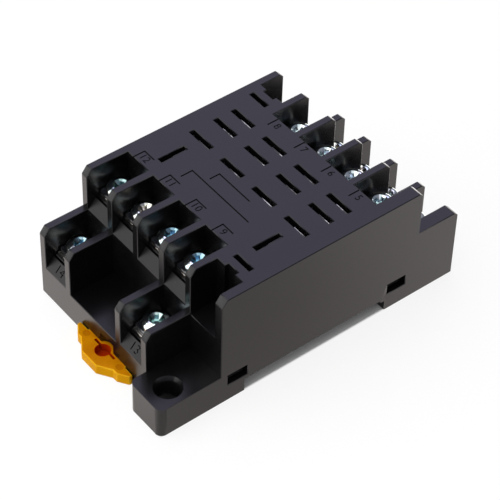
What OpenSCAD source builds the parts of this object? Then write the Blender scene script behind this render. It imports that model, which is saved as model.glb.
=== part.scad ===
// Fourteen-terminal plug-in relay socket for a 35 mm rail, with two tiers of screw terminals at each end.
// Sizes are in millimetres. +X is to the right, +Y to the rear and +Z up, seen from the end with the latch.
// The origin is midway between the two mounting holes, on the plane that the feet stand on.

/* [Housing] */
// Height of the deck that the relay sits on
deck_h = 28.2; // [26:0.1:32]
// Length of the deck between the front and the rear terminal bays
deck_l = 29.6; // [28:0.1:34]
// Thickness of the deck
deck_t = 2.5; // [1.5:0.1:3.5]
// Depth of the front lower seats below the top of their walls
front_drop = 7.8; // [7:0.1:8.4]
// Depth of the rear lower seats below the top of their walls
rear_drop = 6.9; // [6.4:0.1:8.4]
// How much lower the wall beside the front foot stands than the other front walls
foot_wall_drop = 0.9; // [0:0.1:1.2]
// Depth of the upper tier at the front
front_upper = 9.9; // [9:0.1:11.5]
// Depth of the lower tier at the front
front_lower = 10.4; // [9:0.1:11.5]
// Depth of the upper tier at the rear
rear_upper = 9.4; // [9:0.1:11.5]
// Depth of the lower tier at the rear
rear_lower = 10.2; // [9:0.1:11.5]
// Thickness of the left side wall
left_wall = 1.7; // [1.4:0.1:2.5]
// Thickness of the right side wall beside the rear bays
right_wall = 3.1; // [2.4:0.1:4]
// Thickness of the right side wall beside the front recess and the hollow inside
side_wall = 2.2; // [1.6:0.1:2.4]
// Thickness of the front and rear end walls
end_wall = 1.6; // [1.2:0.1:2]
// Thickness of the other walls around the hollow inside
inner_wall = 1.4; // [1:0.1:1.8]
// Length of the chamfer on the front ends of the walls
front_chamfer = 1.2; // [0.5:0.1:1.6]
// Height of that chamfer
front_chamfer_h = 1.6; // [0.5:0.1:2]
// Length of the chamfer on the rear ends of the walls
rear_chamfer = 0.9; // [0.5:0.1:1.6]
// Height of that chamfer
rear_chamfer_h = 0.8; // [0.5:0.1:2]
// Height of the open floor between the two front lower bays
front_floor = 7.1; // [6.8:0.1:8]

/* [Recesses] */
// How far the two corner recesses stop short of the deck's end edges
recess_step = 3.6; // [2.8:0.1:4.2]
// Height of the floor of the recesses
recess_floor = 16.8; // [14.5:0.1:18]
// Width of the notch in the back of each recess
notch_w = 3; // [2:0.1:4]
// Depth of that notch
notch_d = 0.9; // [0.5:0.1:1.2]
// Length of the clip slot in the deck behind each recess
clip_slot_l = 4.8; // [3:0.1:5.5]
// Width of the clip slot
clip_slot_w = 1.1; // [1:0.1:1.6]
// Depth of the clip slot
clip_slot_d = 6; // [4:0.5:8]
// Distance of the clip slot from the edge of its recess
clip_slot_in = 3.2; // [2.6:0.1:3.6]

/* [Feet] */
// Height of the two mounting feet
foot_h = 7.45; // [6.5:0.05:9]
// How far the front foot stands out past the front wall
foot_out = 4.05; // [3.6:0.05:5]
// Radius of the upright corners of the feet
foot_r = 1.6; // [0.8:0.1:2]
// Radius of the mounting holes
hole_r = 2.25; // [1.6:0.05:2.6]
// Distance of the holes from the ends of the feet
hole_end = 5.05; // [4.4:0.05:5.5]
// Distance of the holes from the sides
hole_side = 4.2; // [3.9:0.05:5]
// Radius of the countersink of the holes at its mouth
hole_mouth_r = 2.95; // [2.8:0.05:3.4]
// Depth of the countersink
hole_mouth_d = 1.2; // [0.4:0.1:1.5]

/* [Terminal bays] */
// Width of a bay
bay_w = 6.75; // [6.4:0.05:7.5]
// Thickness of the partitions between bays
partition = 1.65; // [1.3:0.05:2]
// Depth of the upper terminal seats below the deck
seat_drop = 7.8; // [7:0.1:8.2]
// Height of the lower terminal seats above the base cover
seat_step = 5.2; // [5:0.1:5.6]
// Thickness of the floor under a terminal seat
seat_t = 2; // [1.4:0.1:2.2]
// Height of the lip at the front of a terminal seat
lip_h = 1; // [0.6:0.1:1.2]
// How far the seat is cut back under the lip
lip_cut = 0.2; // [0.2:0.1:0.5]
// Width of the gap in front of the lip
lip_gap = 0.4; // [0.4:0.05:0.8]
// Depth of that gap below the seat
lip_gap_d = 2.8; // [2:0.1:3]
// Length of the wire ramp in front of the gap
ramp_l = 2.1; // [1.4:0.05:2.3]
// Drop from the seat to the top of the ramp
ramp_top = 0.1; // [0.1:0.1:0.8]
// Height of the ramp
ramp_h = 2.35; // [1.4:0.05:2.5]

/* [Terminal screws] */
// Distance of a screw from the back wall of its bay
screw_in = 4.2; // [4:0.1:4.4]
// Radius of the screw thread
thread_r = 1.75; // [1.45:0.05:1.8]
// Radius of the screw head
head_r = 2.9; // [2.6:0.05:3.1]
// Height of the screw head
head_h = 2.3; // [1.8:0.1:2.6]
// Height of the domed part of the head
dome_h = 0.8; // [0.4:0.1:1.2]
// Length of the screw under its head
screw_l = 6.4; // [5.6:0.1:6.6]
// Width of the arms of the cross recess
cross_w = 0.9; // [0.6:0.1:1.1]
// Length of the cross recess from end to end
cross_l = 3.4; // [2.8:0.1:4]
// Depth of the cross recess
cross_d = 1.3; // [0.8:0.1:1.6]
// Thickness of a clamp plate
clamp_t = 0.9; // [0.6:0.1:1]
// Length of a clamp plate
clamp_l = 6; // [5:0.1:6.2]
// Gap between a clamp plate or a terminal plate and the walls of its bay
bay_play = 0.25; // [0.15:0.05:0.3]
// Running clearance of the thread in its collar
thread_play = 0.05; // [0.02:0.01:0.08]

/* [Contacts] */
// Spacing of the contact columns across the deck
contact_pitch = 10; // [9.5:0.1:10.4]
// Row of the normally closed contacts, from the middle of the deck
row_closed = 9.2; // [9:0.1:9.8]
// Row of the normally open contacts, from the middle of the deck
row_open = 4.75; // [4.4:0.05:5]
// Row of the common contacts, from the middle of the deck
row_common = -1.2; // [-1.6:0.1:-0.8]
// Row of the two coil contacts, from the middle of the deck
row_coil = -8.2; // [-8.6:0.1:-7.8]
// Length of a contact slot
slot_l = 6.3; // [5.6:0.1:6.6]
// Width of a contact slot
slot_w = 1.2; // [1.1:0.05:1.5]
// Thickness of the contact strip
strip_t = 0.8; // [0.5:0.05:0.9]
// Width of the contact strip
strip_w = 2.2; // [1.6:0.1:2.3]
// Thickness of the leaves of a contact fork
leaf_t = 0.25; // [0.2:0.05:0.3]
// Length of the leaves of a contact fork
leaf_l = 9.5; // [7:0.1:11]
// Height of the gap between the tips of the leaves and the deck's top
leaf_down = 0.2; // [0.1:0.05:0.6]
// Gap between a leaf and its slot
leaf_play = 0.06; // [0.04:0.01:0.1]
// Height of the threaded collar under a terminal plate
collar_h = 1.6; // [1:0.1:1.8]
// Thickness of the wall of the collar
collar_t = 0.45; // [0.3:0.05:0.5]
// Sideways shift of the risers of the closed row, past the strips of the open row
riser_shift = 1.5; // [1.2:0.1:1.8]
// Gap between the base cover and the strips of the lower terminals
strip_lift = 1.2; // [0.8:0.1:1.4]
// Gap above the strips of each level
strip_gap = 2; // [1.6:0.1:2.2]
// Gap around the collar and the strip where they pass the housing
pass_play = 0.15; // [0.1:0.05:0.2]

/* [Base cover] */
// Height of the top of the base cover
cover_h = 5; // [4.6:0.1:5.2]
// Gap around the base cover
cover_play = 0.15; // [0.1:0.05:0.25]
// Length of the snap windows in the side walls
window_l = 4.8; // [4:0.1:5.2]
// Height of the snap windows
window_h = 2.7; // [2.2:0.1:3]
// Height of the lower edge of the snap windows
window_z = 4.3; // [4:0.1:4.5]
// How far the front windows reach past the front edge of the rail channel
window_front_in = 0.6; // [0.2:0.1:1]
// Distance of the rear windows behind the rear edge of the rail channel
window_rear_out = 0.4; // [0.2:0.1:1]
// Thickness of the snap tongues
tongue_t = 1.2; // [0.8:0.1:1.4]
// How far the snap noses reach into the windows
nose_l = 1; // [0.6:0.1:1.3]
// Gap around a snap nose in its window
nose_play = 0.3; // [0.2:0.05:0.4]

/* [Rail] */
// Width of the mounting rail
rail_w = 35; // [34.5:0.1:35.5]
// Thickness of the rail's flange
rail_t = 1; // [0.8:0.1:1.2]
// Play of the rail in its channel
rail_play = 0.3; // [0.2:0.05:0.4]
// Depth of the rail channel
rail_d = 3.2; // [3.1:0.05:3.6]
// Distance of the middle of the channel in front of the middle of the deck
rail_back = 1.2; // [0.6:0.1:1.8]
// How far the hook and the latch reach under the rail
rail_bite = 1.2; // [0.8:0.1:1.6]
// Width of the fixed hook
hook_w = 26; // [16:1:32]
// Height of the rib above the rail at the hook's end
rib_h = 0.6; // [0.4:0.1:0.7]
// Length of that rib
rib_l = 1.1; // [0.8:0.1:1.5]

/* [Latch] */
// Sideways place of the middle of the latch
latch_x = -0.3; // [-1:0.1:1]
// Half the width of the latch's grip
grip_hw = 8.75; // [8:0.05:9.4]
// How far the ends of the grip stand out past the front wall
grip_end = 0.9; // [0.5:0.1:1.2]
// How far the shoulders of the grip stand out past the front wall
grip_shoulder = 2.4; // [1.8:0.05:2.5]
// Sideways run of the slope between an end of the grip and its shoulder
shoulder_run = 2.2; // [1.4:0.1:2.6]
// How far the nose of the grip stands out past the front wall
grip_out = 4.4; // [3.6:0.05:4.6]
// Half the width of the grip's nose
nose_hw = 2.4; // [1.8:0.1:3]
// Sideways run of the nose's flanks for each millimetre outwards
nose_taper = 1.5; // [1.2:0.05:1.6]
// Half the width of the latch's shank
shank_hw = 6.2; // [5.8:0.1:6.6]
// Half the width of the shank's lower part
keel_hw = 4.6; // [4:0.1:5]
// Half the width of the wings that stop the latch
wing_hw = 7.6; // [7.2:0.1:8.2]
// Length of the wings
wing_l = 2.2; // [1.5:0.1:3]
// Distance of the wings from the rail channel
wing_in = 1; // [0.6:0.1:1.5]
// Height of the underside of the latch
latch_z = 0.1; // [0.1:0.05:0.3]
// Thickness of the latch
latch_t = 2.5; // [2.3:0.05:2.6]
// Thickness of the shank's lower part
keel_t = 1.2; // [1:0.05:1.3]
// Travel of the latch
latch_travel = 3; // [2:0.1:3.5]
// Gap around the latch in its guide
latch_play = 0.12; // [0.08:0.01:0.2]
// Radius of the hole in the grip
grip_hole_r = 1.6; // [1.2:0.1:1.8]
// Distance of that hole from the front wall
grip_hole_out = 1; // [0.8:0.1:1.4]
// Thickness of the grip under that hole and under the slit
grip_hole_floor = 0.6; // [0.4:0.1:1]
// Half the length of the slit beside the hole
slit_hl = 3.25; // [2.6:0.05:4]
// Width of the slit
slit_w = 0.5; // [0.3:0.1:0.7]
// Distance of the slit from the front wall
slit_out = 0.5; // [0.4:0.1:0.8]
// Radius of the notch in the front wall around the hole
grip_notch_r = 2.3; // [2:0.1:2.5]
// Height of that notch
grip_notch_h = 5; // [4:0.1:5.6]

/* [Hidden] */
$fn = 48;
// How far cuts run past the faces that they open
over = 1;
bays = 5;
columns = 4;
terminals = 14;

// Places across the socket
bay_grid = bay_w + partition;
body_w = left_wall + bays * bay_w + (bays - 1) * partition + right_wall;
x_left = -body_w / 2;
x_right = body_w / 2;
x_in_left = x_left + left_wall;
x_in_right = x_right - side_wall;
x_front_foot = bay_x(4);
x_rear_foot = bay_x(1) - partition;

// Places along the socket
total_l = foot_out + front_lower + front_upper + deck_l + rear_upper + rear_lower;
y_foot = -total_l / 2;
y_wall = y_foot + foot_out;
y_upper_front = y_wall + front_lower;
y_deck_front = y_upper_front + front_upper;
y_deck_rear = y_deck_front + deck_l;
y_deck_mid = (y_deck_front + y_deck_rear) / 2;
y_upper_rear = y_deck_rear + rear_upper;
y_end = y_upper_rear + rear_lower;
y_in_front = y_upper_front + inner_wall;
y_in_rear = y_upper_rear - inner_wall;
y_recess_front = y_deck_front - recess_step;
y_recess_rear = y_deck_rear + recess_step;
channel_w = rail_w + rail_play;
y_rail = y_deck_mid - rail_back;
y_channel_front = y_rail - channel_w / 2;
y_channel_rear = y_rail + channel_w / 2;
y_window_front = y_channel_front - window_l / 2 + window_front_in;
y_window_rear = y_channel_rear + window_l / 2 + window_rear_out;

// Heights
seat_low = cover_h + seat_step;
front_h = seat_low + front_drop;
rear_h = seat_low + rear_drop;
low_bus_z = cover_h + strip_lift;
high_bus_z = low_bus_z + strip_t + strip_gap;
hollow_h = high_bus_z + strip_t + strip_gap;
leaf_top = deck_h - leaf_down;
leaf_foot = leaf_top - leaf_l - strip_t;
hook_top = rail_d - rib_h - rail_t - rail_play;
latch_top = latch_z + latch_t;
tooth_top = rail_d - rail_t - rail_play;

// Places of the latch's tooth and wings
y_tooth = y_channel_front + rail_bite;
y_wing = y_channel_front - wing_in - wing_l;

// Outline of one half of the grip, as its half width and its distance from the front wall
grip_side = [
    [grip_hw, latch_play],
    [grip_hw, grip_end],
    [grip_hw - shoulder_run, grip_shoulder],
    [nose_hw + nose_taper * (grip_out - grip_shoulder), grip_shoulder],
    [nose_hw, grip_out]
];

// Terminal sizes
bore_r = thread_r + thread_play;
collar_r = bore_r + collar_t;
plate_w = bay_w - 2 * bay_play;
dome_r = (head_r * head_r + dome_h * dome_h) / (2 * dome_h);

// Terminals 1 to 4 are the rear lower tier, 5 to 8 the rear upper tier and 9 to 12 the front upper tier,
// and the coil's terminals 13 and 14 are the front lower tier
function bay_x(k) = x_left + left_wall + k * bay_grid;
function is_rear(n) = n <= 8;
function is_upper(n) = n >= 5 && n <= 12;
function is_coil(n) = n > 12;
function bay_of(n) = is_coil(n) ? (n == 13 ? 3 : 0) : n > 8 ? 12 - n : n > 4 ? 9 - n : 5 - n;
function column_of(n) = is_coil(n) ? (n == 13 ? 3 : 0) : 3 - (n - 1) % 4;
function bay_mid(n) = bay_x(bay_of(n)) + bay_w / 2;
function outward(n) = is_rear(n) ? 1 : -1;
function bay_back(n) = is_rear(n) ? (is_upper(n) ? y_deck_rear : y_upper_rear)
    : (is_upper(n) ? y_deck_front : y_upper_front);
function bay_depth(n) = is_rear(n) ? (is_upper(n) ? rear_upper : rear_lower)
    : (is_upper(n) ? front_upper : front_lower);
function bay_top(n) = is_upper(n) ? deck_h : is_rear(n) ? rear_h : front_h;
function seat_z(n) = is_upper(n) ? deck_h - seat_drop : seat_low;
function seat_l(n) = bay_depth(n) - ramp_l - lip_gap;
function screw_y(n) = bay_back(n) + outward(n) * screw_in;
function column_x(c) = (c - (columns - 1) / 2) * contact_pitch;
function row_y(n) = y_deck_mid
    + (is_coil(n) ? row_coil : n > 8 ? row_common : n > 4 ? row_open : row_closed);
// The risers of the closed row stand beside the strips of the open row
function riser_x(n) = column_x(column_of(n)) - (n <= 4 ? riser_shift : 0);

// Box between two opposite corners
module block(a, b) {
    translate([for (i = [0:2]) min(a[i], b[i])])
        cube([for (i = [0:2]) abs(b[i] - a[i])]);
}

// Prism along X between two places, from an outline in Y and Z
module bar(x0, x1, outline) {
    translate([x0, 0, 0])
        rotate([90, 0, 90])
            linear_extrude(x1 - x0)
                polygon(outline);
}

// Cut that rounds an upright corner whose solid lies on the side that sx and sy point to
module corner_cut(x, y, sx, sy) {
    difference() {
        block([x - sx * over, y - sy * over, -over], [x + sx * foot_r, y + sy * foot_r, foot_h + over]);
        translate([x + sx * foot_r, y + sy * foot_r, -2 * over])
            cylinder(r = foot_r, h = foot_h + 4 * over);
    }
}

// Cut that chamfers the ends of the walls that stop at y, where way points out of the socket
module wall_end_cut(y, way, top, x0 = x_left - over, x1 = x_right + over) {
    length = way < 0 ? front_chamfer : rear_chamfer;
    height = way < 0 ? front_chamfer_h : rear_chamfer_h;
    bar(x0, x1, [
        [y + way * over, top - height],
        [y, top - height],
        [y - way * length, top],
        [y - way * length, top + over],
        [y + way * over, top + over]
    ]);
}

// Cut that lowers the wall beside the front foot and chamfers its end
module foot_wall_cut() {
    top = front_h - foot_wall_drop;
    x0 = x_front_foot - partition - over;
    x1 = x_front_foot + over;
    block([x0, y_wall, top], [x1, y_upper_front, front_h + over]);
    wall_end_cut(y_wall, -1, top, x0, x1);
}

module outer_form() {
    block([x_left, y_upper_front, 0], [x_right, y_upper_rear, deck_h]);
    block([x_left, y_wall, 0], [x_front_foot, y_in_front, front_h]);
    block([x_rear_foot, y_in_rear, 0], [x_right, y_end, rear_h]);
    difference() {
        block([x_front_foot - over, y_foot, 0], [x_right, y_in_front, foot_h]);
        block([x_front_foot - 2 * over, y_foot - over, -over], [x_front_foot, y_wall, foot_h + over]);
        corner_cut(x_front_foot, y_foot, 1, 1);
        corner_cut(x_right, y_foot, -1, 1);
    }
    difference() {
        block([x_left, y_in_rear, 0], [x_rear_foot + over, y_end, foot_h]);
        corner_cut(x_left, y_end, 1, -1);
    }
}

// Space of a bay, with its seat, the gap under the lip and the wire ramp
module bay_cut(n) {
    x = bay_x(bay_of(n));
    z = seat_z(n);
    outline = [
        [0, bay_top(n) + over],
        [0, z],
        [seat_l(n), z],
        [seat_l(n), z - lip_h],
        [seat_l(n) - lip_cut, z - lip_h],
        [seat_l(n) - lip_cut, z - lip_gap_d],
        [seat_l(n) + lip_gap, z - lip_gap_d],
        [seat_l(n) + lip_gap, z - ramp_top],
        [bay_depth(n), z - ramp_top - ramp_h],
        [bay_depth(n) + over, z - ramp_top - ramp_h],
        [bay_depth(n) + over, bay_top(n) + over]
    ];
    bar(x, x + bay_w, [for (p = outline) [bay_back(n) + outward(n) * p[0], p[1]]]);
}

// Holes in a seat for the collar of the terminal plate and for its strip, and the hollow under the seat
module seat_holes(n) {
    x = bay_mid(n);
    y = bay_back(n);
    s = outward(n);
    reach = strip_w / 2 + pass_play;
    hollow_end = is_upper(n) ? bay_depth(n) - inner_wall : bay_depth(n) - end_wall;
    translate([x, screw_y(n), seat_z(n) - seat_t - over])
        cylinder(r = collar_r + pass_play, h = seat_t + 2 * over);
    block([x - reach, y + s * (bay_play - pass_play), seat_z(n) - seat_t - over],
        [x + reach, y + s * (bay_play + strip_t + pass_play), seat_z(n) + over]);
    hollow_start = is_upper(n) ? 0 : inner_wall + over;
    hollow_foot = is_upper(n) ? hollow_h - over : 0;
    block([bay_x(bay_of(n)), y - s * hollow_start, hollow_foot],
        [bay_x(bay_of(n)) + bay_w, y + s * hollow_end, seat_z(n) - seat_t]);
}

module deck_slots() {
    deep = deck_t + over;
    for (c = [0:columns - 1], row = [row_closed, row_open, row_common])
        block([column_x(c) - slot_l / 2, y_deck_mid + row - slot_w / 2, deck_h - deep],
            [column_x(c) + slot_l / 2, y_deck_mid + row + slot_w / 2, deck_h + over]);
    for (c = [0, columns - 1])
        block([column_x(c) - slot_w / 2, y_deck_mid + row_coil - slot_l / 2, deck_h - deep],
            [column_x(c) + slot_w / 2, y_deck_mid + row_coil + slot_l / 2, deck_h + over]);
}

// Corner recess from x0 to x1, cut from its back edge towards way, with its notch and its clip slot
module recess_cut(x0, x1, y, way, y_out) {
    mid = (x0 + x1) / 2;
    slot_y = y - way * clip_slot_in;
    block([x0, y, recess_floor], [x1, y_out + way * over, deck_h + over]);
    block([mid - notch_w / 2, y - way * notch_d, recess_floor],
        [mid + notch_w / 2, y + way * over, deck_h + over]);
    block([mid - clip_slot_l / 2, slot_y - clip_slot_w / 2, deck_h - clip_slot_d],
        [mid + clip_slot_l / 2, slot_y + clip_slot_w / 2, deck_h + over]);
}

// Hollow under the deck, one pocket for each contact column above one space for the strips
module inside_cut() {
    half = (contact_pitch - inner_wall) / 2;
    block([x_in_left, y_in_front, -over], [x_in_right, y_in_rear, hollow_h]);
    for (c = [0:columns - 1]) {
        x0 = c == 0 ? x_in_left : column_x(c) - half;
        x1 = c == columns - 1 ? x_in_right : column_x(c) + half;
        block([x0, y_deck_front + inner_wall, hollow_h - over],
            [x1, y_deck_rear - inner_wall, deck_h - deck_t]);
    }
}

// Outline of the base cover, grown by gap
module cover_outline(gap) {
    module area(x0, y0, x1, y1) {
        translate([x0 - gap, y0 - gap])
            square([x1 - x0 + 2 * gap, y1 - y0 + 2 * gap]);
    }
    x0 = x_in_left + cover_play;
    x1 = x_in_right - cover_play;
    area(x0, y_in_front + cover_play, x1, y_in_rear - cover_play);
    area(x0, y_wall + end_wall + cover_play, x_front_foot - inner_wall - cover_play, y_in_front + over);
    area(x_rear_foot + inner_wall + cover_play, y_in_rear - over, x1, y_end - end_wall - cover_play);
}

module channel_cut() {
    block([x_left - over, y_channel_front, -over], [x_right + over, y_channel_rear, rail_d]);
}

module windows() {
    for (x = [x_left, x_right], y = [y_window_front, y_window_rear])
        block([x - side_wall - over, y - window_l / 2, window_z],
            [x + side_wall + over, y + window_l / 2, window_z + window_h]);
}

module mounting_hole(x, y) {
    translate([x, y, -over])
        cylinder(r = hole_r, h = foot_h + 2 * over);
    translate([x, y, foot_h - hole_mouth_d])
        cylinder(r1 = hole_r, r2 = hole_mouth_r, h = hole_mouth_d);
}

module rail_ribs() {
    for (x = [x_left, x_right])
        block([x, y_channel_rear - rib_l, rail_d - rib_h],
            [x - sign(x) * (x < 0 ? left_wall : side_wall), y_channel_rear, rail_d + over / 2]);
}

module housing() {
    color([0.17, 0.17, 0.19]) {
        difference() {
            outer_form();
            for (n = [1:terminals]) {
                bay_cut(n);
                seat_holes(n);
            }
            block([bay_x(1), y_wall - over, front_floor], [bay_x(3) - partition, y_upper_front, deck_h]);
            recess_cut(x_front_foot, x_in_right, y_recess_front, -1, y_upper_front);
            recess_cut(x_in_left, x_rear_foot, y_recess_rear, 1, y_upper_rear);
            wall_end_cut(y_upper_front, -1, deck_h);
            wall_end_cut(y_upper_rear, 1, deck_h);
            wall_end_cut(y_wall, -1, front_h);
            wall_end_cut(y_end, 1, rear_h);
            foot_wall_cut();
            inside_cut();
            deck_slots();
            translate([0, 0, -over])
                linear_extrude(cover_h + over)
                    cover_outline(cover_play);
            channel_cut();
            windows();
            mounting_hole(x_right - hole_side, y_foot + hole_end);
            mounting_hole(x_left + hole_side, y_end - hole_end);
            block([latch_x - shank_hw - latch_play, y_wall - over, -over],
                [latch_x + shank_hw + latch_play, y_wall + end_wall + over, latch_top + latch_play]);
            translate([latch_x, y_wall - grip_hole_out, -over])
                cylinder(r = grip_notch_r, h = grip_notch_h + over);
        }
        rail_ribs();
    }
}

// Guide of the latch in the base cover, with the longer pocket where its wings slide
module latch_guide() {
    p = latch_play;
    x = latch_x;
    ledge = latch_z + keel_t - p;
    block([x - keel_hw - p, y_wall, -over], [x + keel_hw + p, y_channel_front + over, latch_top]);
    block([x - shank_hw - p, y_wall, ledge], [x + shank_hw + p, y_channel_front + over, latch_top + p]);
    block([x - wing_hw - p, y_wing - latch_travel - p, ledge],
        [x + wing_hw + p, y_wing + wing_l + p, latch_top + p]);
}

module snap_tongue(side, y) {
    wall = side < 0 ? x_in_left : x_in_right;
    inner = wall - side * cover_play;
    half = window_l / 2 - nose_play;
    top = window_z + window_h - nose_play;
    block([inner - side * tongue_t, y - half, cover_h - over], [inner, y + half, top]);
    block([inner - side * tongue_t, y - half, window_z + nose_play], [wall + side * nose_l, y + half, top]);
}

module base_cover() {
    color([0.14, 0.14, 0.15]) {
        difference() {
            linear_extrude(cover_h)
                cover_outline(0);
            channel_cut();
            latch_guide();
        }
        block([-hook_w / 2, y_channel_rear - rail_bite, 0], [hook_w / 2, y_channel_rear + over, hook_top]);
        for (side = [-1, 1], y = [y_window_front, y_window_rear])
            snap_tongue(side, y);
    }
}

module rail_latch() {
    other_side = [for (i = [len(grip_side) - 1:-1:0]) [-grip_side[i][0], grip_side[i][1]]];
    flange = latch_z + keel_t;
    color([0.92, 0.6, 0.03])
        translate([latch_x, 0, 0])
            difference() {
                union() {
                    translate([0, y_wall, latch_z])
                        linear_extrude(latch_t)
                            polygon([for (p = concat(grip_side, other_side)) [p[0], -p[1]]]);
                    block([-shank_hw, y_wall - grip_end, flange], [shank_hw, y_channel_front, latch_top]);
                    block([-keel_hw, y_wall - grip_end, latch_z], [keel_hw, y_channel_front, latch_top]);
                    block([-keel_hw, y_channel_front - wing_in, latch_z], [keel_hw, y_tooth, tooth_top]);
                    block([-wing_hw, y_wing, flange], [wing_hw, y_wing + wing_l, latch_top]);
                }
                translate([0, y_wall - grip_hole_out, latch_z + grip_hole_floor])
                    cylinder(r = grip_hole_r, h = latch_t + over);
                block([-slit_hl, y_wall - slit_out - slit_w / 2, latch_z + grip_hole_floor],
                    [slit_hl, y_wall - slit_out + slit_w / 2, latch_top + over]);
                bar(-keel_hw - over, keel_hw + over, [
                    [y_tooth - rail_bite, latch_z - over],
                    [y_tooth + over, latch_z - over],
                    [y_tooth + over, tooth_top - latch_z],
                    [y_tooth, (latch_z + tooth_top) / 2],
                    [y_tooth - rail_bite, latch_z]
                ]);
            }
}

// Fork of two leaves under a slot along X, seen from its own slot's middle
module fork() {
    near = slot_w / 2 - leaf_play;
    half = slot_l / 2 - leaf_play;
    block([-half, -near, leaf_foot], [half, near, leaf_foot + strip_t]);
    block([-leaf_t, -near, leaf_foot], [half, leaf_t - near, leaf_top]);
    block([-half, near - leaf_t, leaf_foot], [half, near, deck_h - deck_t - leaf_play]);
}

module contact(n) {
    x = bay_mid(n);
    y = bay_back(n);
    s = outward(n);
    z = seat_z(n);
    bus = is_upper(n) ? high_bus_z : low_bus_z;
    pin = [riser_x(n), row_y(n)];
    leg = y + s * bay_play;
    half = strip_w / 2;
    thick = strip_t / 2;
    color([0.83, 0.8, 0.7]) {
        difference() {
            union() {
                block([x - plate_w / 2, leg, z],
                    [x + plate_w / 2, y + s * (seat_l(n) - bay_play), z + strip_t]);
                translate([x, screw_y(n), z - collar_h])
                    cylinder(r = collar_r, h = collar_h + strip_t / 2);
            }
            translate([x, screw_y(n), z - collar_h - over])
                cylinder(r = bore_r, h = collar_h + strip_t + 2 * over);
        }
        block([x - half, leg, bus], [x + half, leg + s * strip_t, z + strip_t]);
        block([x - half, leg + s * strip_t, bus], [x + half, pin[1] - s * half, bus + strip_t]);
        block([min(x, pin[0]) - half, pin[1] - half, bus],
            [max(x, pin[0]) + half, pin[1] + half, bus + strip_t]);
        translate([pin[0], pin[1], 0])
            rotate([0, 0, is_coil(n) ? 90 : 0])
                block([-half, -thick, bus], [half, thick, leaf_foot + strip_t]);
        translate([column_x(column_of(n)), pin[1], 0])
            rotate([0, 0, is_coil(n) ? 90 : 0])
                fork();
    }
}

// Square clamp plate that the screw presses on the wire
module clamp_plate(n) {
    color([0.76, 0.78, 0.8])
        translate([bay_mid(n), screw_y(n), seat_z(n) + strip_t])
            difference() {
                block([-plate_w / 2, -clamp_l / 2, 0], [plate_w / 2, clamp_l / 2, clamp_t]);
                translate([0, 0, -over])
                    cylinder(r = bore_r, h = clamp_t + 2 * over);
            }
}

// Pan-head screw with a cross recess, tightened down on its clamp plate
module terminal_screw(n) {
    color([0.78, 0.83, 0.86])
        translate([bay_mid(n), screw_y(n), seat_z(n) + strip_t + clamp_t])
            difference() {
                union() {
                    translate([0, 0, -screw_l])
                        cylinder(r = thread_r, h = screw_l + head_h / 2);
                    intersection() {
                        cylinder(r = head_r, h = head_h);
                        translate([0, 0, head_h - dome_r])
                            sphere(r = dome_r);
                    }
                }
                for (turn = [0, 90])
                    rotate([0, 0, turn])
                        block([-cross_l / 2, -cross_w / 2, head_h - cross_d],
                            [cross_l / 2, cross_w / 2, head_h + over]);
            }
}

housing();
base_cover();
rail_latch();
for (n = [1:terminals]) {
    contact(n);
    clamp_plate(n);
    terminal_screw(n);
}
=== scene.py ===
import math

import bmesh
import bpy
from mathutils import Matrix, Vector


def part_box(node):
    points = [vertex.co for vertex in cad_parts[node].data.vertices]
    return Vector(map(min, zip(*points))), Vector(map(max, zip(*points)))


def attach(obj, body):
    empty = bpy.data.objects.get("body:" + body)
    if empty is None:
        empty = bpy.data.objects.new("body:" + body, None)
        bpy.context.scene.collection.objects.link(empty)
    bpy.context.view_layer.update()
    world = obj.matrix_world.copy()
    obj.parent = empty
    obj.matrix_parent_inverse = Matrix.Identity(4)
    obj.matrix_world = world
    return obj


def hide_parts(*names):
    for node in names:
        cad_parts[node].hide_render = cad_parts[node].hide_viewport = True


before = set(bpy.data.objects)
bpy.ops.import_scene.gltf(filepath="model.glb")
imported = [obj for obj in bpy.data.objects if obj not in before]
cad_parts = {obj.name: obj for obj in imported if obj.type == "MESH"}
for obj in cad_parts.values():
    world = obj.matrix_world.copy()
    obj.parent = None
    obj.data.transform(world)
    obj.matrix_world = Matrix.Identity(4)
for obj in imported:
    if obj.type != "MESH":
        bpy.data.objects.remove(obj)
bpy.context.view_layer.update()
mm = 0.001
terminals = range(1, 15)
scene = bpy.context.scene
scene.view_settings.view_transform = "Standard"
print("frame loaded:", len(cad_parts), "nodes")

# Camera at the photo's angle

cameraSetup = {
    "place": (0.240395, -0.194497, 0.326002),
    "right": (0.614381, 0.788662, 0.023425),
    "up": (-0.573874, 0.426288, 0.699247),
    "forward": (-0.541484, 0.443047, -0.714496),
    "lens": 160.08,
    "sensor": 36.0,
    "clipStart": 0.01,
}


def addCamera(setup):
    data = bpy.data.cameras.new("camera")
    data.sensor_fit = "HORIZONTAL"
    data.sensor_width = setup["sensor"]
    data.lens = setup["lens"]
    data.clip_start = setup["clipStart"]
    camera = bpy.data.objects.new("camera", data)
    scene.collection.objects.link(camera)
    turn = Matrix((setup["right"], setup["up"], -Vector(setup["forward"]))).transposed()
    camera.matrix_world = Matrix.Translation(setup["place"]) @ turn.to_4x4()
    scene.camera = camera


addCamera(cameraSetup)

# Helpers for shaders


def feed(node, values):                      # sets a node's sockets, or links them where a tap is given
    for key, value in values.items():
        if isinstance(value, Tap):
            value.tree.links.new(value.socket, node.inputs[key])
        else:
            node.inputs[key].default_value = value


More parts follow.
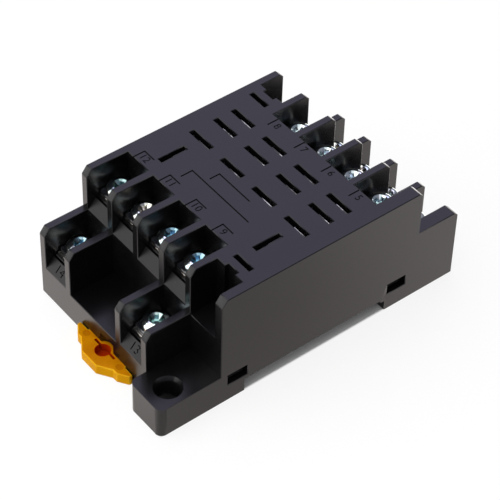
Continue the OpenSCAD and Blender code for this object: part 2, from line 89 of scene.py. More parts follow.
class Tap:                                   # one output socket, so that shader sums read as plain sums
    def __init__(self, tree, socket=None):
        self.tree = tree
        self.socket = socket

    def node(self, kind, settings=None, sockets=None, out=0):
        made = self.tree.nodes.new(kind)
        for key, value in (settings or {}).items():
            setattr(made, key, value)
        feed(made, sockets or {})
        return Tap(self.tree, made.outputs[out])

    def maths(self, operation, first, second):
        return self.node("ShaderNodeMath", {"operation": operation}, {0: first, 1: second})

    def __add__(self, other):
        return self.maths("ADD", self, other)

    def __radd__(self, other):
        return self.maths("ADD", other, self)

    def __sub__(self, other):
        return self.maths("SUBTRACT", self, other)

    def __rsub__(self, other):
        return self.maths("SUBTRACT", other, self)

    def __mul__(self, other):
        return self.maths("MULTIPLY", self, other)

    def __rmul__(self, other):
        return self.maths("MULTIPLY", other, self)

    def above(self, low, high):              # 0 below low, 1 above high
        return self.node("ShaderNodeMapRange", {"interpolation_type": "SMOOTHSTEP"},
                         {"Value": self, "From Min": low, "From Max": high})

    def blend(self, first, second):          # colour mix, with this value as the factor
        return self.node("ShaderNodeMix", {"data_type": "RGBA"}, {0: self, 6: first, 7: second}, out=2)


def startMaterial(name):
    material = bpy.data.materials.new(name)
    material.use_nodes = True
    tree = material.node_tree
    return material, Tap(tree), tree.nodes["Principled BSDF"]


def objectPlace(tap):                        # Object coordinates, in metres
    return tap.node("ShaderNodeTexCoord", out=3)


def alongAxis(tap, place, axis):
    return tap.node("ShaderNodeSeparateXYZ", {}, {0: place}, out=axis)


def noise(tap, place, grade):                # grade: scale, detail and roughness
    scale, detail, rough = grade
    return tap.node("ShaderNodeTexNoise", {},
                    {"Vector": place, "Scale": scale, "Detail": detail, "Roughness": rough})


def bump(tap, height, strength, depth):
    return tap.node("ShaderNodeBump", {}, {"Strength": strength, "Distance": depth, "Height": height})


def lightPath(tap, name):
    path = tap.tree.nodes.new("ShaderNodeLightPath")
    return Tap(tap.tree, path.outputs[name])


def seenRays(tap):                           # 1 where the camera, a reflection or a clear material looks
    total = lightPath(tap, "Is Camera Ray") + lightPath(tap, "Is Glossy Ray")
    total = total + lightPath(tap, "Is Transmission Ray")
    return total.maths("MINIMUM", total, 1.0)


def distanceTo(tap, place, middle):
    return tap.node("ShaderNodeVectorMath", {"operation": "DISTANCE"}, {0: place, 1: middle}, out=1)


def inside(tap, place, low, high, soft):     # 1 within a box of x and y, 0 outside it
    mask = None
    for axis in (0, 1):
        along = alongAxis(tap, place, axis)
        part = along.above(low[axis], low[axis] + soft) - along.above(high[axis] - soft, high[axis])
        mask = mask * part if mask else part
    return mask


# Floor and studio light, in metres

stageSetup = {
    "floorDrop": 0.00005,
    "floorHalf": 2.5,
    "floorColour": (0.86, 0.85, 0.84, 1.0),
    "white": (1.0, 1.0, 1.0, 1.0),
    "glow": 1.05,
    "glowShare": 0.80,
    "shadeMiddle": (0.055, -0.020, 0.0),     # what the floor shows to reflections: a painted shadow beside the right wall
    "shadeReach": (0.020, 0.070),
    "shadeDark": (0.80, 0.73, 0.70, 1.0),
    "shadePale": (1.44, 1.34, 1.29, 1.0),
    "gleamMiddle": (-0.042, 0.086, 0.0),     # and a painted bright patch behind the rear left corner
    "gleamReach": (0.030, 0.060),
    "gleam": (3.0, 2.9, 2.85, 1.0),
    "under": [((-0.0226, -0.0327), (0.0226, 0.0367)), ((0.0127, -0.0367), (0.0226, -0.0310))],
    "underSoft": 0.0006,
    "skyForGloss": (0.80, 0.82, 1.0, 1.0),
    "skyGloss": 0.28,
    "skyForLight": (0.92, 0.95, 1.0, 1.0),
    "skyLight": 0.30,
    "horizon": (1.2, 1.22, 1.25, 1.0),
    "horizonReach": (0.06, 0.20),
    "lamps": [
        {"name": "topBox", "place": (-0.15, -0.28, 0.80), "size": (0.90, 0.92), "power": 4.6,
         "colour": (1, 1, 1)},
        {"name": "faceBox", "place": (0.50, -0.42, 0.62), "size": (0.60, 0.60), "power": 0.9,
         "colour": (1, 1, 1)},
        {"name": "frontBox", "place": (-0.42, -1.02, 0.46), "size": (1.5, 0.72), "power": 6.8,
         "colour": (1, 0.98, 0.95)},
        {"name": "deckBox", "place": (-0.70, 0.57, 0.92), "size": (0.95, 0.95), "power": 3.9,
         "colour": (0.76, 0.71, 1.0)},
    ],
    "aim": (0, 0, 0.015),
}


def addFloor(setup):
    material, tap, shader = startMaterial("paleFloor")
    tree = material.node_tree
    place = objectPlace(tap)
    shade = distanceTo(tap, place, setup["shadeMiddle"]).above(*setup["shadeReach"])
    mirrored = shade.blend(setup["shadeDark"], setup["shadePale"])
    gleam = distanceTo(tap, place, setup["gleamMiddle"]).above(*setup["gleamReach"])
    mirrored = gleam.blend(setup["gleam"], mirrored)
    # reflections see the floor with its painted shadow and painted bright patch
    colour = lightPath(tap, "Is Glossy Ray").blend(setup["white"], mirrored)
    body, foot = (inside(tap, place, *box, setup["underSoft"]) for box in setup["under"])
    bare = 1 - body.maths("MAXIMUM", body, foot)        # no glow under the socket
    matt = tap.node("ShaderNodeBsdfDiffuse", {}, {"Color": setup["floorColour"]})
    glow = tap.node("ShaderNodeEmission", {}, {"Color": colour, "Strength": setup["glow"]})
    share = seenRays(tap) * bare * setup["glowShare"]
    both = tap.node("ShaderNodeMixShader", {}, {0: share, 1: matt, 2: glow})
    tree.links.new(both.socket, tree.nodes["Material Output"].inputs["Surface"])
    tree.nodes.remove(shader)
    bm = bmesh.new()
    bmesh.ops.create_grid(bm, x_segments=1, y_segments=1, size=setup["floorHalf"])
    bmesh.ops.translate(bm, verts=bm.verts, vec=(0, 0, -setup["floorDrop"]))
    mesh = bpy.data.meshes.new("floor")
    bm.to_mesh(mesh)
    bm.free()
    mesh.materials.append(material)
    floor = bpy.data.objects.new("floor", mesh)
    scene.collection.objects.link(floor)


def addSky(setup):
    world = bpy.data.worlds.new("studio")
    world.use_nodes = True
    scene.world = world
    tree = world.node_tree
    tree.nodes.clear()
    tap = Tap(tree)
    light = tap.node("ShaderNodeBackground", {},
                     {"Color": setup["skyForLight"], "Strength": setup["skyLight"]})
    way = tap.node("ShaderNodeTexCoord")
    height = alongAxis(tap, way, 2).above(*setup["horizonReach"])
    upper = tuple(setup["skyGloss"] * value for value in setup["skyForGloss"][:3]) + (1.0,)
    gloss = tap.node("ShaderNodeBackground", {}, {"Color": height.blend(setup["horizon"], upper)})
    white = tap.node("ShaderNodeBackground", {}, {"Color": setup["white"]})
    lit = tap.node("ShaderNodeMixShader", {}, {0: seenRays(tap), 1: light, 2: gloss})
    whole = tap.node("ShaderNodeMixShader", {}, {0: lightPath(tap, "Is Camera Ray"), 1: lit, 2: white})
    end = tree.nodes.new("ShaderNodeOutputWorld")
    tree.links.new(whole.socket, end.inputs["Surface"])


def addLamps(setup):
    for lamp in setup["lamps"]:
        data = bpy.data.lights.new(lamp["name"], "AREA")
        data.shape = "RECTANGLE"
        data.size, data.size_y = lamp["size"]
        data.energy = lamp["power"]
        data.color = lamp["colour"]
        lampObject = bpy.data.objects.new(lamp["name"], data)
        scene.collection.objects.link(lampObject)
        lampObject.location = lamp["place"]
        way = Vector(setup["aim"]) - Vector(lamp["place"])
        lampObject.rotation_euler = way.to_track_quat("-Z", "Y").to_euler()


addFloor(stageSetup)
addSky(stageSetup)
addLamps(stageSetup)
print("camera, floor and lamps made")

# Black plastic of the housing, its wire ramps and the cover

blackPlastic = {
    "dark": (0.0024, 0.0024, 0.0028, 1),
    "pale": (0.0046, 0.0044, 0.0048, 1),
    "flow": (75.0, 4.0, 0.6),
    "toneReach": (0.3, 0.7),
    "roughReach": (0.25, 0.75),
    "grain": (5200.0, 3.0, 0.6),
    "grainMiddle": 0.5,
    "grainRough": 0.06,
    "grainShare": 0.7,
    "pits": (5200.0 / 6, 2.0, 0.5),
    "pitShare": 0.3,
    "bump": 0.25,
    "specks": (1500.0, 1.0, 0.4),
    "speckReach": (0.745, 0.80),
    "dust": (0.20, 0.19, 0.18, 1),
    "dustShare": 0.05,
    "ior": 1.42,
}
plasticFinishes = {
    "housingPlastic": {"rough": (0.20, 0.27), "grainDepth": 0.000012},
    "coverPlastic": {"rough": (0.32, 0.42), "grainDepth": 0.000018},
    "rampPlastic": {"rough": (0.40, 0.47), "grainDepth": 0.000018},
}


def mouldedPlastic(name, look):
    material, tap, shader = startMaterial(name)
    place = objectPlace(tap)
    flow = noise(tap, place, look["flow"])
    grain = noise(tap, place, look["grain"])
    pits = noise(tap, place, look["pits"])
    specks = noise(tap, place, look["specks"]).above(*look["speckReach"])
    tone = flow.above(*look["toneReach"]).blend(look["dark"], look["pale"])
    low, high = look["rough"]
    rough = low + (high - low) * flow.above(*look["roughReach"])
    rough = rough + look["grainRough"] * (grain - look["grainMiddle"])
    height = grain * look["grainShare"] + pits * look["pitShare"]
    feed(shader, {"Base Color": (specks * look["dustShare"]).blend(tone, look["dust"]), "Roughness": rough,
                  "IOR": look["ior"], "Normal": bump(tap, height, look["bump"], look["grainDepth"])})
    return material


plastics = {}
for name, finish in plasticFinishes.items():
    plastics[name] = mouldedPlastic(name, {**blackPlastic, **finish})

# Amber plastic of the latch: its top, its edges painted brighter as a highlight, and its sides painted
# lighter as lit from the front

amberLook = {
    "deep": (0.50, 0.168, 0.0006, 1),
    "bright": (0.60, 0.235, 0.001, 1),
    "toneReach": (0.3, 0.7),
    "flow": (160.0, 3.0, 0.55),
    "grain": (4200.0, 2.0, 0.5),
    "rough": 0.30,
    "flowRough": 0.10,
    "grainRough": 0.05,
    "bump": 0.2,
    "grainDepth": 0.00001,
    "ior": 1.52,
    "gloss": 0.02,
    "glowWithin": 0.15,
    "glowRadius": (1.0, 0.35, 0.05),
    "glowScale": 0.0012,
    # painted shade inside the hole and the slit: the amber turns dark red
    "inner": (0.40, 0.028, 0.001, 1),
    "hole": (-0.0003, -0.033725, 0.0),
    "holeReach": (0.00162, 0.00174),
    "slit": ((-0.00359, -0.033515), (0.00299, -0.032935)),
    "slitSoft": 0.00004,
    "mark": (0.42, 0.115, 0.0005, 1),
    "marks": [(-0.00585, -0.033645, 0.0), (0.00525, -0.033645, 0.0)],
    "markReach": (0.00070, 0.00084),
    "markShare": 0.6,
}
amberTones = {
    "amberTop": {},
    # the rounded edges: amber painted brighter as a painted highlight
    "amberEdgeHighlight": {"deep": (0.66, 0.31, 0.004, 1), "bright": (0.76, 0.40, 0.012, 1)},
    # the upright sides: amber painted lighter and yellower, as painted light from the front
    "amberLitSide": {"deep": (0.60, 0.27, 0.001, 1), "bright": (0.68, 0.33, 0.002, 1)},
}


def amberPlastic(name, look):
    material, tap, shader = startMaterial(name)
    place = objectPlace(tap)
    level = tap.node("ShaderNodeVectorMath", {"operation": "MULTIPLY"}, {0: place, 1: (1, 1, 0)})
    flow = noise(tap, place, look["flow"])
    grain = noise(tap, place, look["grain"])
    left, right = (1 - distanceTo(tap, level, mark).above(*look["markReach"]) for mark in look["marks"])
    hole = 1 - distanceTo(tap, level, look["hole"]).above(*look["holeReach"])
    slit = inside(tap, level, *look["slit"], look["slitSoft"])
    amber = flow.above(*look["toneReach"]).blend(look["deep"], look["bright"])
    amber = ((left + right) * look["markShare"]).blend(amber, look["mark"])
    # within the hole and the slit the amber is painted dark red as shade
    feed(shader, {"Base Color": hole.maths("MAXIMUM", hole, slit).blend(amber, look["inner"]),
                  "Roughness": look["rough"] + look["flowRough"] * flow + look["grainRough"] * grain,
                  "IOR": look["ior"], "Specular IOR Level": look["gloss"],
                  "Subsurface Weight": look["glowWithin"], "Subsurface Radius": look["glowRadius"],
                  "Subsurface Scale": look["glowScale"],
                  "Normal": bump(tap, grain, look["bump"], look["grainDepth"])})
    return material


latchPlastics = [amberPlastic(name, {**amberLook, **tones}) for name, tones in amberTones.items()]

# Plated metals: screws and their recesses, clamp plates and contact strips

plating = {
    "cloud": (420.0, 3.0, 0.55),
    "paleReach": (0.35, 0.6),
    "warmReach": (0.58, 0.75),
    "grain": (3800.0, 3.0, 0.6),
    "bump": 0.25,
    "stain": (900.0, 4.0, 0.6),
    "stainReach": (0.58, 0.72),
    "stainShare": 0.35,
    "stainRough": 0.12,
}
recessFinish = {"rough": (0.06, 0.16), "grainDepth": 0.000008}
sheetFinish = {"rough": (0.10, 0.20), "grainDepth": 0.000006}
metalLooks = {
    "screwZinc": {
        "blue": (0.68, 0.82, 0.86, 1), "pale": (0.86, 0.90, 0.86, 1),
        "warm": (0.82, 0.80, 0.70, 1), "dirt": (0.34, 0.36, 0.36, 1),
        "rough": (0.05, 0.11), "grainDepth": 0.000005,
    },
    # teal and blue recesses: painted shade and reflection down in the cross, over the zinc's own blue tint
    "recessShadeTeal": {
        "blue": (0.30, 0.47, 0.46, 1), "pale": (0.44, 0.60, 0.58, 1),
        "warm": (0.58, 0.70, 0.68, 1), "dirt": (0.08, 0.16, 0.16, 1), **recessFinish,
    },
    "recessShadeBlue": {
        "blue": (0.26, 0.44, 0.53, 1), "pale": (0.40, 0.58, 0.65, 1),
        "warm": (0.54, 0.68, 0.72, 1), "dirt": (0.07, 0.14, 0.18, 1), **recessFinish,
    },
    "recessPearl": {
        "blue": (0.58, 0.70, 0.72, 1), "pale": (0.84, 0.89, 0.88, 1),
        "warm": (0.92, 0.91, 0.86, 1), "dirt": (0.20, 0.25, 0.26, 1), **recessFinish,
    },
    "recessCream": {
        "blue": (0.78, 0.78, 0.70, 1), "pale": (0.90, 0.88, 0.80, 1),
        "warm": (0.92, 0.88, 0.76, 1), "dirt": (0.20, 0.19, 0.16, 1), **recessFinish,
    },
    "clampZinc": {
        "blue": (0.44, 0.46, 0.49, 1), "pale": (0.54, 0.55, 0.57, 1),
        "warm": (0.54, 0.52, 0.48, 1), "dirt": (0.20, 0.20, 0.20, 1), **sheetFinish,
    },
    "contactTin": {
        "blue": (0.74, 0.72, 0.68, 1), "pale": (0.80, 0.77, 0.70, 1),
        "warm": (0.78, 0.70, 0.54, 1), "dirt": (0.36, 0.33, 0.28, 1), **sheetFinish,
        # the ends of the leaves are painted dark as shade in the slots
        "leafShadeFrom": (0.0262, 0.0266), "leafShadeReach": (0.50, 0.66),
        "leafShadeDark": (0.07, 0.068, 0.062, 1), "leafShadePale": (0.46, 0.45, 0.42, 1),
    },
}


def platedMetal(name, look):
    material, tap, shader = startMaterial(name)
    place = objectPlace(tap)
    cloud = noise(tap, place, look["cloud"])
    grain = noise(tap, place, look["grain"])
    stain = noise(tap, place, look["stain"]).above(*look["stainReach"])
    tint = cloud.above(*look["paleReach"]).blend(look["blue"], look["pale"])
    tint = cloud.above(*look["warmReach"]).blend(tint, look["warm"])
    colour = (stain * look["stainShare"]).blend(tint, look["dirt"])
    if "leafShadeFrom" in look:                   # ends of the leaves, painted dark as shade down in the slots of the deck
        leafShade = cloud.above(*look["leafShadeReach"]).blend(look["leafShadeDark"], look["leafShadePale"])
        colour = alongAxis(tap, place, 2).above(*look["leafShadeFrom"]).blend(colour, leafShade)
    low, high = look["rough"]
    feed(shader, {"Base Color": colour, "Metallic": 1.0,
                  "Roughness": low + (high - low) * grain + look["stainRough"] * stain,
                  "Normal": bump(tap, grain, look["bump"], look["grainDepth"])})
    return material


metals = {name: platedMetal(name, {**plating, **look}) for name, look in metalLooks.items()}
print("materials made:", len(plastics) + len(latchPlastics) + len(metals))

# Helpers for meshes, which are worked on in millimetres

meshSetup = {
    "weld": 0.002,
    "flatTurn": math.radians(0.4),
    "facetArea": 4,
    "facetBend": (0.01, math.radians(25)),
    "crease": math.radians(24),
    "slim": 0.0005,
}


def solidCopy(node):                         # a CAD node's triangles, joined up and with its flat faces whole
    bm = bmesh.new()
    bm.from_mesh(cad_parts[node].data)
    bmesh.ops.scale(bm, vec=(1 / mm, 1 / mm, 1 / mm), verts=bm.verts)
    bmesh.ops.remove_doubles(bm, verts=bm.verts, dist=meshSetup["weld"])
    bmesh.ops.dissolve_limit(bm, angle_limit=meshSetup["flatTurn"], use_dissolve_boundaries=False,
                             verts=bm.verts, edges=bm.edges)
    return bm


def bevelEdges(bm, edges, width, segments, material=-1, clamp=False):
    return bmesh.ops.bevel(bm, geom=edges, offset=width, offset_type="OFFSET", segments=segments,
                           profile=0.5, affect="EDGES", material=material, clamp_overlap=clamp)["faces"]


def isFacet(face):                           # a narrow strip of a round wall, not a flat face
    least, most = meshSetup["facetBend"]
    isSmall = face.calc_area() < meshSetup["facetArea"]
    return isSmall and any(least < edge.calc_face_angle(0) < most for edge in face.edges)


def roundEdges(bm, setup, keep=None, slot=0):  # flat faces stay flat, rounds shade smoothly
    chosen = []
    for edge in bm.edges:
        if len(edge.link_faces) != 2 or not edge.is_convex:
            continue
        if edge.calc_face_angle() < meshSetup["crease"] or edge.calc_length() < setup["least"]:
            continue
        if keep is None or keep(edge):
            chosen.append(edge)
    rounds = bevelEdges(bm, chosen, setup["round"], setup["segments"])
    for face in bm.faces:
        face.smooth = isFacet(face)
    for face in rounds:
        face.smooth = True
        face.material_index = slot
    bmesh.ops.dissolve_degenerate(bm, dist=meshSetup["slim"], edges=bm.edges)
    return len(chosen)


def turnAbout(bm, verts, angle, axis="Z"):
    bmesh.ops.rotate(bm, cent=(0, 0, 0), matrix=Matrix.Rotation(angle, 3, axis), verts=verts)


def addRod(bm, radius, length, steps):
    made = bmesh.ops.create_cone(bm, cap_ends=True, segments=steps, radius1=radius, radius2=radius,
                                 depth=length)
    return made["verts"]


def pieceFrom(bm, name, *materials, toMetres=True):
    if toMetres:
        bmesh.ops.scale(bm, vec=(mm, mm, mm), verts=bm.verts)
    mesh = bpy.data.meshes.new(name)
    bm.to_mesh(mesh)
    bm.free()
    for material in materials:
        mesh.materials.append(material)
    piece = bpy.data.objects.new(name, mesh)
    scene.collection.objects.link(piece)
    return piece


def madeReal(item):                          # the mesh of an object, with its modifiers or its text made real
    bpy.context.view_layer.update()
    seen = item.evaluated_get(bpy.context.evaluated_depsgraph_get())
    return bpy.data.meshes.new_from_object(seen)


def cutAway(piece, bm, material):            # takes a solid out of a piece, and the cut has this material
    cutter = pieceFrom(bm, "cutter", material, toMetres=False)
    step = piece.modifiers.new("cut", "BOOLEAN")
    step.operation = "DIFFERENCE"
    step.solver = "EXACT"
    step.material_mode = "TRANSFER"
    step.use_self = True
    step.object = cutter
    done = madeReal(piece)
    piece.modifiers.clear()
    old = piece.data
    piece.data = done
    bpy.data.meshes.remove(old)
    bpy.data.objects.remove(cutter)


def takeMesh(blank):                         # a blank's mesh to work on, and the blank goes
    bm = bmesh.new()
    bm.from_mesh(blank.data)
    bpy.data.objects.remove(blank)
    return bm


def shadeSmooth(piece, sharp):               # smooth, apart from edges over this many degrees
    piece.data.shade_smooth()
    piece.data.set_sharp_from_angle(angle=math.radians(sharp))


# Housing, with its rounded edges and its engraved numbers and lines

markSetup = {
    "deep": 0.28,
    "line": 0.30,
    "digit": 2.4,
    "rampDigit": 2.7,
    "digitSteps": 3,
    "digitSpacing": 1.05,
    "weld": 0.0005,
    "deckTop": 28.2,
    "bayMid": (-17.5, -9.1, -0.7, 7.7, 16.1),
    "rows": [                                # numbers with their bays, and places from the middle of a bay
        {"numbers": {12: 0, 11: 1, 10: 2, 9: 3}, "digitAt": (0.25, -11.0),
         "path": [(-1.45, -12.6), (-1.45, -9.75), (1.6, -9.75)]},
        {"numbers": {8: 1, 7: 2, 6: 3, 5: 4}, "digitAt": (0, 15.55),
         "path": [(-1.6, 14.5), (-1.6, 17.1)]},
    ],
    "deckPaths": [
        [(-9.0, -8.2), (-9.0, -5.55), (8.6, -5.55)],
        [(-5.1, -4.15), (-5.1, -1.9), (4.3, -1.9)],
    ],
    "rampNumbers": {14: 0, 13: 3},
    "rampLow": (0, -32.725, 7.75),
    "rampHigh": (0, -30.625, 10.1),
}


def addPath(bm, setup, points, x=0):         # the engraved lines along a path on the deck, as cutters
    for start, end in zip(points, points[1:]):
        start, end = Vector((x + start[0], start[1])), Vector((x + end[0], end[1]))
        along = end - start
        made = bmesh.ops.create_cube(bm, size=1.0)["verts"]
        size = (along.length + setup["line"], setup["line"], 2 * setup["deep"])
        bmesh.ops.scale(bm, vec=size, verts=made)
        turnAbout(bm, made, math.atan2(along.y, along.x))
        middle = (start + end) / 2
        bmesh.ops.translate(bm, vec=(middle.x, middle.y, setup["deckTop"]), verts=made)


def addNumber(bm, setup, number, size, place):  # a number as a solid, added to the cutter at the given place
    curve = bpy.data.curves.new("number", "FONT")
    curve.body = str(number)
    curve.size = size
    curve.align_x = "CENTER"
    curve.align_y = "CENTER"
    curve.extrude = setup["deep"]
    curve.resolution_u = setup["digitSteps"]
    curve.space_character = setup["digitSpacing"]
    holder = bpy.data.objects.new("number", curve)
    scene.collection.objects.link(holder)
    mesh = madeReal(holder)
    mesh.transform(place)
    bm.from_mesh(mesh)
    bmesh.ops.remove_doubles(bm, verts=bm.verts, dist=setup["weld"])
    bpy.data.objects.remove(holder)
    bpy.data.curves.remove(curve)
    bpy.data.meshes.remove(mesh)


def deckMarks(setup):
    bm = bmesh.new()
    for row in setup["rows"]:
        across, along = row["digitAt"]
        for number, bay in row["numbers"].items():
            x = setup["bayMid"][bay]
            place = Matrix.Translation((x + across, along, setup["deckTop"]))
            addNumber(bm, setup, number, setup["digit"], place)
            addPath(bm, setup, row["path"], x)
    for path in setup["deckPaths"]:
        addPath(bm, setup, path)
    return bm


def rampMarks(setup):                        # numbers on the two coil terminals' wire ramps
    bm = bmesh.new()
    low, high = Vector(setup["rampLow"]), Vector(setup["rampHigh"])
    along = (high - low).normalized()
    normal = Vector((1, 0, 0)).cross(along)
    middle = (low + high) / 2
    turn = Matrix(((1, 0, 0), tuple(along), tuple(normal))).transposed().to_4x4()
    for number, bay in setup["rampNumbers"].items():
        place = Matrix.Translation((setup["bayMid"][bay], middle.y, middle.z)) @ turn
        addNumber(bm, setup, number, setup["rampDigit"], place)
    return bm


housingSetup = {
    "round": 0.14,
    "segments": 2,
    "least": 0.5,
    "rampWay": (0, 0.7457, 0.6663),
    "rampMatch": 0.9985,
    "sharp": [((12.8, -22.0, 16.9), (20.3, -13.5, 28.0)), ((-20.8, 16.0, 16.9), (-14.2, 26.0, 28.0))],
}


def isWithin(edge, box):
    middle = (edge.verts[0].co + edge.verts[1].co) / 2
    return all(low < spot < high for low, spot, high in zip(box[0], middle, box[1]))


def buildHousing(setup):
    blank = pieceFrom(solidCopy("housing"), "housingBlank", plastics["housingPlastic"], toMetres=False)
    markTag = bpy.data.materials.new("markTag")
    for marks in (deckMarks(markSetup), rampMarks(markSetup)):
        cutAway(blank, marks, markTag)
    bm = takeMesh(blank)
    marked = sum(face.material_index > 0 for face in bm.faces)
    print("housing engraved:", len(bm.faces), "faces,", marked, "in the marks")

    def isPlain(edge):                       # no edge of a mark, and none deep in the corner recesses
        inMark = any(face.material_index for face in edge.link_faces)
        return not inMark and not any(isWithin(edge, box) for box in setup["sharp"])

    count = roundEdges(bm, setup, isPlain)
    for face in bm.faces:                    # the wire ramps are matt, the floors of their numbers are not
        way = Vector((0, abs(face.normal.y), face.normal.z))
        isRamp = way.dot(setup["rampWay"]) > setup["rampMatch"]
        face.material_index = int(isRamp and face.material_index == 0)
    piece = pieceFrom(bm, "housingShell", plastics["housingPlastic"], plastics["rampPlastic"])
    bpy.data.materials.remove(markTag)
    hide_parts("housing")
    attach(piece, "socket")
    print("housing:", count, "edges rounded,", len(piece.data.polygons), "faces")


buildHousing(housingSetup)

# Rail latch, with two shallow round marks on its top

latchSetup = {
    "round": 0.22,
    "segments": 3,
    "least": 0.4,
    "highlightSlot": 1,
    "litSideSlot": 2,
    "litSideTilt": 0.5,
    "markR": 0.8,
    "markDeep": 0.08,
    "markOut": 0.92,
    "markSide": 5.55,
    "markSteps": 40,
    "middle": -0.3,
    "wall": -32.725,
    "top": 2.6,
}


def isOutsideOpenings(edge):                 # the edges of the hole and the slit stay crisp
    middle = (edge.verts[0].co + edge.verts[1].co).xy / 2 * mm
    low, high = amberLook["slit"]
    inSlit = all(least < spot < most for least, spot, most in zip(low, middle, high))
    inHole = (middle - Vector(amberLook["hole"]).xy).length < amberLook["holeReach"][1]
    return not inSlit and not inHole


def buildLatch(setup):
    low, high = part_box("rail_latch")
    bm = solidCopy("rail_latch")
    # the rounded edges get the amber with the painted highlight
    count = roundEdges(bm, setup, isOutsideOpenings, setup["highlightSlot"])
    # upright faces get the amber painted lighter, as lit from the front
    for face in bm.faces:
        if face.material_index == 0 and abs(face.normal.z) < setup["litSideTilt"]:
            face.material_index = setup["litSideSlot"]
    piece = pieceFrom(bm, "latchGrip", *latchPlastics, toMetres=False)
    cutter = bmesh.new()
    for side in (-1, 1):
        made = addRod(cutter, setup["markR"], 2 * setup["markDeep"], setup["markSteps"])
        spot = (setup["middle"] + side * setup["markSide"], setup["wall"] - setup["markOut"], setup["top"])
        bmesh.ops.translate(cutter, verts=made, vec=spot)
    cutAway(piece, cutter, latchPlastics[0])
    piece.data.transform(Matrix.Scale(mm, 4))
    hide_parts("rail_latch")
    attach(piece, "latch")
    print("latch:", count, "edges rounded, box", [round(v / mm, 2) for v in (*low, *high)])


buildLatch(latchSetup)

# Terminal screws

screwSetup = {
    "headR": 2.9, "headH": 2.3, "edgeR": 0.85, "domeTurn": 16.0, "underChamfer": 0.12,
    "domeSteps": 5, "edgeSteps": 8, "turnSteps": 64,
    "shankR": 1.47, "length": 6.4, "tip": 0.45, "tipR": 0.9,
    "threadR": 1.74, "pitch": 0.6, "threadClear": 1.0, "threadBite": 0.05, "threadHalf": 0.25,
    "threadSteps": 24,
    "crossL": 3.5, "crossW": 1.05, "crossD": 1.35, "crossTaper": 0.55, "armTaper": 0.8,
    "heartR": 1.65, "heartTip": 0.25, "heartSteps": 24,
    "rimRound": 0.20, "rimSegments": 2, "weld": 0.001, "sharp": 32,
    "turns": {1: 12, 2: 64, 3: 31, 4: 75, 5: 20, 6: 58, 7: 38,
              8: 8, 9: 60, 10: 44, 11: 70, 12: 40, 13: 52, 14: 48},
    # each screw's recess colour; the teal and blue ones carry painted shade and reflection
    "recesses": {3: "recessCream", 4: "recessCream", 9: "recessShadeBlue", 10: "recessShadeBlue",
                 11: "recessCream", 12: "recessShadeTeal", 13: "recessShadeTeal", 14: "recessShadeBlue"},
    "usualRecess": "recessPearl",
}


def screwProfile(setup):                     # half section of the head and the shank, from the top to the tip
    edge, least = setup["edgeR"], math.radians(setup["domeTurn"])
    flat = setup["headR"] - edge + edge * math.sin(least)
    dome = flat / math.sin(least)
    points = []
    for step in range(setup["domeSteps"] + 1):
        turn = least * step / setup["domeSteps"]
        points.append((dome * math.sin(turn), setup["headH"] - dome + dome * math.cos(turn)))
    low = points[-1][1] - edge * math.cos(least)
    for step in range(1, setup["edgeSteps"] + 1):
        turn = least + (math.pi / 2 - least) * step / setup["edgeSteps"]
        points.append((setup["headR"] - edge + edge * math.sin(turn), low + edge * math.cos(turn)))
    under, shank, end = setup["underChamfer"], setup["shankR"], -setup["length"]
    points += [(setup["headR"], under), (setup["headR"] - under, 0.0), (shank, 0.0)]
    points += [(shank, end + setup["tip"]), (setup["tipR"], end), (0.0, end)]
    return points


def crossCutters(setup):                     # two tapered arms and the cone in the middle of the cross recess
    for turn in (0, 90):
        arm = bmesh.new()
        made = bmesh.ops.create_cube(arm, size=1.0)["verts"]
        bmesh.ops.scale(arm, vec=(setup["crossL"], setup["crossW"], 2 * setup["crossD"]), verts=made)
        for vert in made:
            if vert.co.z < 0:
                vert.co.x *= setup["crossTaper"]
                vert.co.y *= setup["armTaper"]
        turnAbout(arm, made, math.radians(turn))
        yield arm
    heart = bmesh.new()
    bmesh.ops.create_cone(heart, cap_ends=True, segments=setup["heartSteps"], radius1=setup["heartTip"],
                          radius2=2 * setup["heartR"], depth=2 * setup["crossD"])
    yield heart


def addThread(bm, setup):
    turns = int((setup["length"] - setup["threadClear"]) / setup["pitch"])
    root, half = setup["shankR"] - setup["threadBite"], setup["threadHalf"]
    low = -setup["length"] + setup["tip"]
    spots = ((root, 0, low - half), (setup["threadR"], 0, low), (root, 0, low + half))
    tooth = [bm.verts.new(spot) for spot in spots]
    loop = [bm.edges.new((tooth[i], tooth[(i + 1) % 3])) for i in range(3)]
    bmesh.ops.spin(bm, geom=tooth + loop, cent=(0, 0, 0), axis=(0, 0, 1), angle=2 * math.pi * turns,
                   steps=setup["threadSteps"] * turns, dvec=(0, 0, setup["pitch"] / setup["threadSteps"]))
    bmesh.ops.holes_fill(bm, edges=[edge for edge in bm.edges if edge.is_boundary], sides=3)


def screwMesh(setup):
    bm = bmesh.new()
    points = [bm.verts.new((x, 0, z)) for x, z in screwProfile(setup)]
    edges = [bm.edges.new(pair) for pair in zip(points, points[1:])]
    bmesh.ops.spin(bm, geom=points + edges, cent=(0, 0, 0), axis=(0, 0, 1), angle=2 * math.pi,
                   steps=setup["turnSteps"], use_merge=True)
    bmesh.ops.remove_doubles(bm, verts=bm.verts, dist=setup["weld"])
    bmesh.ops.recalc_face_normals(bm, faces=bm.faces)
    head = pieceFrom(bm, "screwBlank", metals["screwZinc"], toMetres=False)
    for cutter in crossCutters(setup):
        bmesh.ops.translate(cutter, vec=(0, 0, setup["headH"]), verts=cutter.verts)
        cutAway(head, cutter, metals["recessShadeTeal"])
    bm = takeMesh(head)
    rims = [edge for edge in bm.edges if len({face.material_index for face in edge.link_faces}) == 2]
    bevelEdges(bm, rims, setup["rimRound"], setup["rimSegments"], material=0, clamp=True)
    bmesh.ops.remove_doubles(bm, verts=bm.verts, dist=setup["weld"])
    bmesh.ops.dissolve_degenerate(bm, dist=setup["weld"], edges=bm.edges)
    openEdges = sum(edge.is_boundary for edge in bm.edges)
    print("screw recess:", len(rims), "rim edges rounded,", openEdges, "left open")
    addThread(bm, setup)
    bmesh.ops.recalc_face_normals(bm, faces=bm.faces)
    return bm


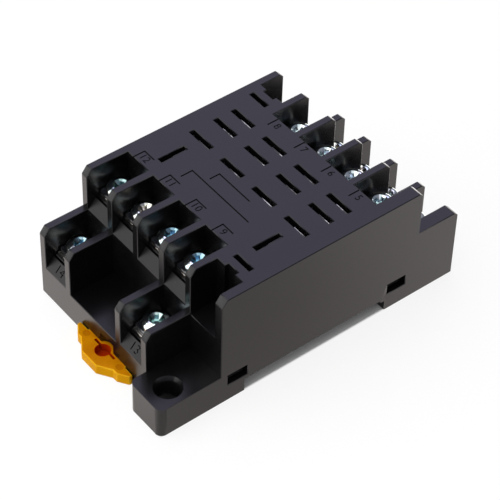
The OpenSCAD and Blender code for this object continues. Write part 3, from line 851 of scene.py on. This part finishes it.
def buildScrews(setup):
    master = screwMesh(setup)
    for n, turn in setup["turns"].items():
        low, high = (Vector(corner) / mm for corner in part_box(f"terminal_screw_{n}"))
        middle = (low + high) / 2
        bm = master.copy()
        turnAbout(bm, bm.verts, math.radians(turn))
        bmesh.ops.translate(bm, vec=(middle.x, middle.y, high.z - setup["headH"]), verts=bm.verts)
        recess = metals[setup["recesses"].get(n, setup["usualRecess"])]
        piece = pieceFrom(bm, f"screw_{n}", metals["screwZinc"], recess)
        shadeSmooth(piece, setup["sharp"])
        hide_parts(f"terminal_screw_{n}")
        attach(piece, f"screw_{n}")
    print("screws:", len(setup["turns"]), "of", len(master.faces), "faces")
    master.free()


buildScrews(screwSetup)

# Clamp plates

clampSetup = {
    "corner": 0.55, "cornerSegments": 4, "uprightOver": 0.1,
    "rim": 0.12, "rimSegments": 2, "levelUnder": 0.01,
    "holeR": 1.8, "holeDeep": 4, "holeSteps": 40,
    "grooves": (-2.3, 2.3), "grooveR": 0.42, "grooveLong": 12, "grooveLow": 0.1, "grooveSteps": 24,
    "sharp": 38, "flatWeight": 90,
}


def riseOf(edge):
    return abs(edge.verts[0].co.z - edge.verts[1].co.z)


def clampMesh(setup, size):
    bm = bmesh.new()
    bmesh.ops.create_cube(bm, size=1.0)
    bmesh.ops.scale(bm, vec=size, verts=bm.verts)
    uprights = [edge for edge in bm.edges if riseOf(edge) > setup["uprightOver"]]
    bevelEdges(bm, uprights, setup["corner"], setup["cornerSegments"])
    rims = [edge for edge in bm.edges if riseOf(edge) < setup["levelUnder"]]
    bevelEdges(bm, rims, setup["rim"], setup["rimSegments"])
    plate = pieceFrom(bm, "plateBlank", metals["clampZinc"], toMetres=False)
    cutter = bmesh.new()
    addRod(cutter, setup["holeR"], setup["holeDeep"], setup["holeSteps"])
    cutAway(plate, cutter, metals["clampZinc"])
    for across in setup["grooves"]:          # the two grooves that grip a wire
        cutter = bmesh.new()
        made = addRod(cutter, setup["grooveR"], setup["grooveLong"], setup["grooveSteps"])
        turnAbout(cutter, made, math.pi / 2, "X")
        bmesh.ops.translate(cutter, vec=(across, 0, -size[2] / 2 - setup["grooveLow"]), verts=made)
        cutAway(plate, cutter, metals["clampZinc"])
    return takeMesh(plate)


def buildClamps(setup):
    low, high = (Vector(corner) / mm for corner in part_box("clamp_plate_1"))
    master = clampMesh(setup, high - low)
    for n in terminals:
        low, high = (Vector(corner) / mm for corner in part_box(f"clamp_plate_{n}"))
        bm = master.copy()
        bmesh.ops.translate(bm, vec=(low + high) / 2, verts=bm.verts)
        piece = pieceFrom(bm, f"clamp_{n}", metals["clampZinc"])
        shadeSmooth(piece, setup["sharp"])
        step = piece.modifiers.new("flats", "WEIGHTED_NORMAL")   # the large faces stay flat
        step.keep_sharp = True
        step.weight = setup["flatWeight"]
        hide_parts(f"clamp_plate_{n}")
        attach(piece, f"clamp_{n}")
    print("clamp plates:", len(terminals), "of", len(master.faces), "faces")
    master.free()


buildClamps(clampSetup)

# Contact strips, with the rounded edges of a stamping

contactSetup = {"round": 0.09, "segments": 3, "least": 0.2}


def buildContacts(setup):
    count = 0
    for n in terminals:
        bm = solidCopy(f"contact_{n}")
        count += roundEdges(bm, setup)
        piece = pieceFrom(bm, f"strip_{n}", metals["contactTin"])
        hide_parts(f"contact_{n}")
        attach(piece, "socket")
    print("contact strips:", len(terminals), "with", count, "edges rounded")


buildContacts(contactSetup)

# The base cover keeps its CAD mesh and gets its plastic

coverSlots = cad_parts["base_cover"].data.materials
coverSlots.clear()
coverSlots.append(plastics["coverPlastic"])
